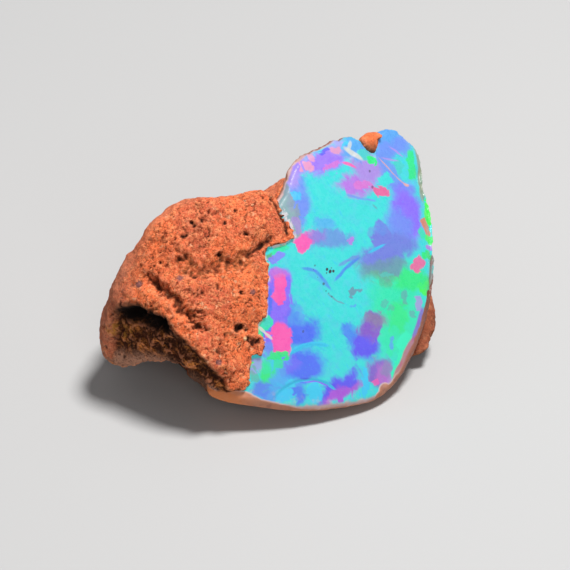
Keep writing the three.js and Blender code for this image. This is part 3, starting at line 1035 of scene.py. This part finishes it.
def play_of_colour(look, stone, turned):
    """The patches drift softly, jump from one flake to the next and fray at their edges."""
    drift = look.noise(stone, 0.7, 2, 0.5, "Color")
    cells = look.node("TexVoronoi", None, {"Vector": stone, "Scale": 1.0}, "Color")
    fray = look.noise(turned, 1.6, 3, 0.65, "Color")
    cloudy = look.strayed(stone, drift, 1.3)
    cloudy = look.strayed(cloudy, cells, 0.5)
    cloudy = look.strayed(cloudy, fray, 0.7)
    crisp = look.strayed(stone, drift, 1.0)
    crisp = look.strayed(crisp, cells, 0.35)
    crisp = look.strayed(crisp, fray, 0.35)
    fine = look.strayed(stone, drift, 0.35)

    play = look.mix(TURQUOISE, AQUA, look.noise(stone, 0.9).between(0.45, 0.7))
    mottle = look.noise(turned, 0.8, 3)
    play = look.mix(play, CYAN, mottle.between(0.56, 0.72) * 0.55)
    for *shape, tone, share in CLOUDS:
        play = patch(look, play, cloudy, shape, tone, share, CLOUD_EDGE)
    for *shape, tone, share in FLAKES:
        play = patch(look, play, crisp, shape, tone, share, FLAKE_EDGE, square=True)
    for *shape, tone, share in SHADES:
        play = patch(look, play, cloudy, shape, tone, share, SHADE_EDGE)
    for line, wide, tone, share in STROKES:
        play = stroke_patches(look, play, fine, line, wide, tone, share)
    for (x, y), wide, share in SPECKS:
        shape = (x, y, wide, wide * 0.8, 40)
        play = patch(look, play, fine, shape, SOOT, share, SPECK_EDGE)
    play = look.mix(play, AQUA, look.noise(turned, 3.0, 2).between(0.60, 0.75) * 0.25)
    veil = look.noise(turned, 1.2, 4, 0.7)
    return look.mix(play, VEIL, veil.between(0.56, 0.74) * 0.18)


def chipped_line(look, play, stone, up):
    """A pale, chipped line where the stone meets the rock."""
    contact, _, _ = look.parts(look.attribute("contact"))
    chipped = look.noise(stone, 1.1, 4, 0.7).between(0.44, 0.54)
    chipped = chipped * up.between(-3.6, -3.0)
    return look.mix(play, CHIPPED, contact.between(0.36, 0.16) * chipped * 0.85)


def outer_skin(look, stone, along, depth):
    """The skin is amber where it is deep and at the left end, and browner to the right."""
    pale_edge = depth.between(0.75, 0.45) * along.between(5.0, 0.0, 0.15, 0.7)
    return look.layered(SKIN, (
        (DARK_SKIN, look.noise(stone, 1.3, 4).between(0.5, 0.68) * 0.8),
        (PALE_SKIN, pale_edge),
        (AMBER, depth.between(0.9, 1.6) * 0.4),
        (AMBER, along.between(-12.0, -14.6) * 0.7),
        (BROWN_SKIN, along.between(0.5, 3.5) * 0.8),
        (DEEP_SKIN, along.between(5.0, 8.5) * 0.75),
    ))


def opal_finish():
    look = Finish("precious_opal")
    stone = look.attribute("stone")
    along, up, depth = look.parts(stone)
    turned = look.within(stone, 0, 0, 1.0, 0.28, 100)
    play = play_of_colour(look, stone, turned)
    play = chipped_line(look, play, stone, up)

    # the play of colour ends in the outer skin, and has a little painted glow, as emission,
    # where it shows
    rough_depth = depth + look.noise(stone, 1.6, 4) * 0.3 - 0.15
    skin = rough_depth.between(0.30, 0.48)
    skin_tone = outer_skin(look, stone, along, rough_depth)
    surface = look.mix(look.mix(play, BLACK, 0.5), skin_tone, skin)
    painted_glow = look.mix(play, SKIN_PAINTED_GLOW, skin)
    bump = look.bump(0.4, 0.05, look.noise(stone, 2.0, 4))
    dull = look.noise(stone, 1.7, 4, 0.7).between(0.42, 0.60, 0.2, 0.55)
    return look.shine({
        "Base Color": surface, "Roughness": dull + depth.between(0.02, 0.15) * 0.25,
        "Specular IOR Level": 0.35, "IOR": 1.45, "Normal": bump,
        "Coat Weight": 0.08, "Coat Roughness": 0.12,
        "Subsurface Weight": 0.12, "Subsurface Radius": (0.6, 0.5, 0.5), "Subsurface Scale": MM,
        "Emission Color": painted_glow, "Emission Strength": 0.3,
    })


# the rock's colours
RUST = colour(246, 119, 70)
DULL_RUST = colour(219, 104, 71)
BRIGHT_RUST = colour(255, 142, 86)
BROWN_RUST = colour(168, 82, 52)
PALE_GRAINS = colour(255, 168, 112)
DARK_GRAINS = colour(184, 90, 58)
STREAKS = colour(120, 52, 32)
GAPS = colour(92, 44, 30)
SPARKS = colour(255, 206, 160)
PORES = colour(70, 30, 18)
LIT_GRAINS = colour(255, 184, 130)
WORN = colour(222, 132, 98)
GREY_SHADED_EDGE = colour(164, 108, 88)
DIP_SHADE_BROWN = colour(140, 78, 44)
WEDGE_RUST = colour(236, 122, 72)
KNOB_BROWN = colour(130, 76, 56)
# the underside's colours: partly the rock's own darker brown, partly painted shade under the
# ridge and on faces turned down
UNDER_BROWN = colour(112, 66, 26)
UNDER_BLACK = colour(8, 5, 2)
UNDER_LIGHT = colour(222, 134, 66)
UNDER_GRAINS = colour(196, 128, 78)
UNDER_EDGE = colour(214, 158, 130)
UNDER_PORES = colour(10, 6, 3)
OCHRE_YELLOW = colour(206, 140, 58)
NODULE_GREY = colour(122, 88, 92)
# painted shade in dents and hollows, and a painted highlight on proud edges
BROAD_DENT_SHADE = colour(66, 32, 20)
SMALL_DENT_SHADE = colour(60, 30, 20)
PROUD_EDGE_HIGHLIGHT = colour(250, 160, 118)
PAINTED_HOLLOW_SHADE = colour(20, 12, 9)
PALE_TUFF = colour(250, 214, 160)

GRAIN_SCALE = 3.6  # grains to the millimetre


def rusty_front(look, place, wander, patterns):
    """The rust tones of the lit sides: broad, then middling, then grain by grain."""
    mid, streaks, fine, gaps = patterns
    kind, share, _ = look.parts(look.node("TexVoronoi", None, {
        "Vector": wander, "Scale": GRAIN_SCALE,
    }, "Color"))
    broad = look.noise(place, 0.22, 3).between(0.42, 0.62)
    return look.layered(look.mix(RUST, DULL_RUST, broad), (
        (BRIGHT_RUST, mid.between(0.52, 0.70) * 0.7),
        (BROWN_RUST, mid.between(0.49, 0.34) * 0.8),
        (PALE_GRAINS, kind.between(0.62, 0.95) * 0.4),
        (DARK_GRAINS, kind.between(0.35, 0.10) * 0.45),
        (STREAKS, streaks.between(0.46, 0.36) * 0.8),
        (GAPS, gaps.between(0.06, 0.01) * 0.3),
        (SPARKS, share.between(0.97, 0.99) * 0.4),
        (PORES, fine.between(0.46, 0.36) * 0.7),
        (LIT_GRAINS, fine.between(0.57, 0.68) * 0.5),
    ))


def streaked_shaded_underside(look, place, fine, grey_shaded_edge):
    """The dark brown under the ridge, partly the rock's own brown and partly painted shade,
    drawn out in streaks that run along it.
    """
    grain_way = look.node("VectorMath", {"operation": "PROJECT"}, {0: place, 1: RIDGE_WAY})
    drawn = look.vector("SUBTRACT", place, look.scaled(grain_way, 0.7))
    dark = look.noise(drawn, 1.5, 4, 0.7)
    return look.layered(look.mix(UNDER_BROWN, UNDER_BLACK, dark.between(0.56, 0.49)), (
        (UNDER_LIGHT, dark.between(0.56, 0.63) * 0.8),
        (UNDER_GRAINS, fine.between(0.56, 0.66) * 0.4),
        (UNDER_EDGE, grey_shaded_edge * 0.7),
        (UNDER_PORES, fine.between(0.47, 0.41) * 0.7),
    ))


def rock_finish():
    look = Finish("rusty_tuff")
    place = look.scaled(look.node("TexCoord", give="Object"), 1 / MM)
    hollow, cavity, broad = look.parts(look.attribute("painted_shading"))
    below, ochre, dip = look.parts(look.attribute("shade_and_tints"))
    grey_shaded_edge, wedge, knob = look.parts(look.attribute("edges"))
    nodule, pale, worn = look.parts(look.attribute("grains"))
    mid = look.noise(place, 0.9, 4, 0.65)
    streaks = look.noise(place, 2.0, 4, 0.7)
    fine = look.noise(place, 6.0, 3, 0.7)
    wander = look.strayed(place, look.noise(place, 2.4, 4, 0.7, "Color"), 0.8)
    gaps = look.node("TexVoronoi", {"feature": "DISTANCE_TO_EDGE"}, {
        "Vector": wander, "Scale": GRAIN_SCALE,
    })

    front = rusty_front(look, place, wander, (mid, streaks, fine, gaps))
    tone = look.layered(front, (
        (WORN, worn * 0.45),
        # partly the rock's own grey, partly painted shade on the lower lip and the left side
        (GREY_SHADED_EDGE, grey_shaded_edge * 0.7),
        # brown in the dip's streaks: painted shade in the shallow hollow
        (DIP_SHADE_BROWN, dip * streaks.between(0.60, 0.42) * 0.75),
        (WEDGE_RUST, wedge * 0.6),
        (KNOB_BROWN, knob * 0.8),
        # painted shade, with the rock's own brown, under the ridge and on faces turned down
        (streaked_shaded_underside(look, place, fine, grey_shaded_edge), below * 0.92),
        (OCHRE_YELLOW, ochre * streaks.between(0.44, 0.56) * 0.8),
        (NODULE_GREY, nodule * 0.8),
        # painted shade in dents, a painted highlight on proud edges, painted shade in the
        # hollows
        (BROAD_DENT_SHADE, broad.between(0.03, 0.22) * 0.6),
        (SMALL_DENT_SHADE, cavity.between(0.02, 0.08) * 0.5),
        (PROUD_EDGE_HIGHLIGHT, cavity.between(-0.01, -0.06) * 0.3),
        (PAINTED_HOLLOW_SHADE, hollow),
        (PALE_TUFF, pale),
    ))
    height = mid * 0.45 + streaks * 0.5 + gaps.between(0.0, 0.25) * 0.08 + fine * 0.2
    return look.shine({
        "Base Color": tone, "Roughness": 0.92, "Specular IOR Level": 0.12,
        "Normal": look.bump(1.0, 0.3, height),
    })


# ---------------------------------------------------------------- assembly

def surface_tree(piece):
    """A piece's skin in millimetres, to look up its nearest place."""
    skin = bmesh.new()
    skin.from_mesh(piece.data)
    bmesh.ops.scale(skin, verts=skin.verts, vec=(1 / MM, 1 / MM, 1 / MM))
    tree = BVHTree.FromBMesh(skin)
    skin.free()
    return tree


opal = build_opal()
rock = build_rock(surface_tree(opal))
opal.data.materials.append(opal_finish())
rock.data.materials.append(rock_finish())

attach(opal, "root")
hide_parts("opal")
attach(rock, "root")
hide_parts("host_rock")

# ---------------------------------------------------------------- stage

centre = (Vector(cad_box[0]) + Vector(cad_box[1])) / 2


def placed(name, data, place=(0, 0, 0), turn=(0, 0, 0)):
    thing = bpy.data.objects.new(name, data)
    thing.location = place
    thing.rotation_euler = turn
    bpy.context.scene.collection.objects.link(thing)
    return thing


def set_camera():
    view_up = Vector((0, math.sin(CAMERA_RISE), math.cos(CAMERA_RISE)))
    aim = centre + Vector((AIM_RIGHT, 0, 0)) - view_up * AIM_DOWN
    lens = bpy.data.cameras.new("camera")
    lens.lens = CAMERA_LENS
    lens.clip_start = 0.01
    stand = aim + Vector(TOWARDS_EYE) * CAMERA_DISTANCE
    turn = (math.radians(90) - CAMERA_RISE, 0, 0)
    bpy.context.scene.camera = placed("camera", lens, stand, turn)


def lay_floor():
    skin = bmesh.new()
    bmesh.ops.create_grid(skin, x_segments=1, y_segments=1, size=FLOOR_HALF)
    mesh = bpy.data.meshes.new("floor")
    skin.to_mesh(mesh)
    skin.free()
    paper = Finish("pale_paper")
    mesh.materials.append(paper.shine({"Base Color": PAPER, "Roughness": 0.8}))
    placed("floor", mesh)


def soft_light(name, place, size, power):
    light = bpy.data.lights.new(name, "AREA")
    light.shape = "DISK"
    light.size = size
    light.energy = power
    turn = (-Vector(place)).to_track_quat("-Z", "Y").to_euler()
    placed(name, light, centre + Vector(place), turn)


def light_room():
    world = bpy.data.worlds.new("room")
    world.use_nodes = True
    sky = world.node_tree.nodes["Background"].inputs
    sky["Color"].default_value = (*ROOM_LIGHT, 1)
    sky["Strength"].default_value = ROOM_STRENGTH
    bpy.context.scene.world = world


set_camera()
lay_floor()
soft_light("key_light", (0.10, 0.02, 0.42), 0.11, 2.6)
soft_light("front_light", (0.05, -0.40, 0.22), 0.25, 0.45)
light_room()
bpy.context.scene.view_settings.view_transform = "Standard"
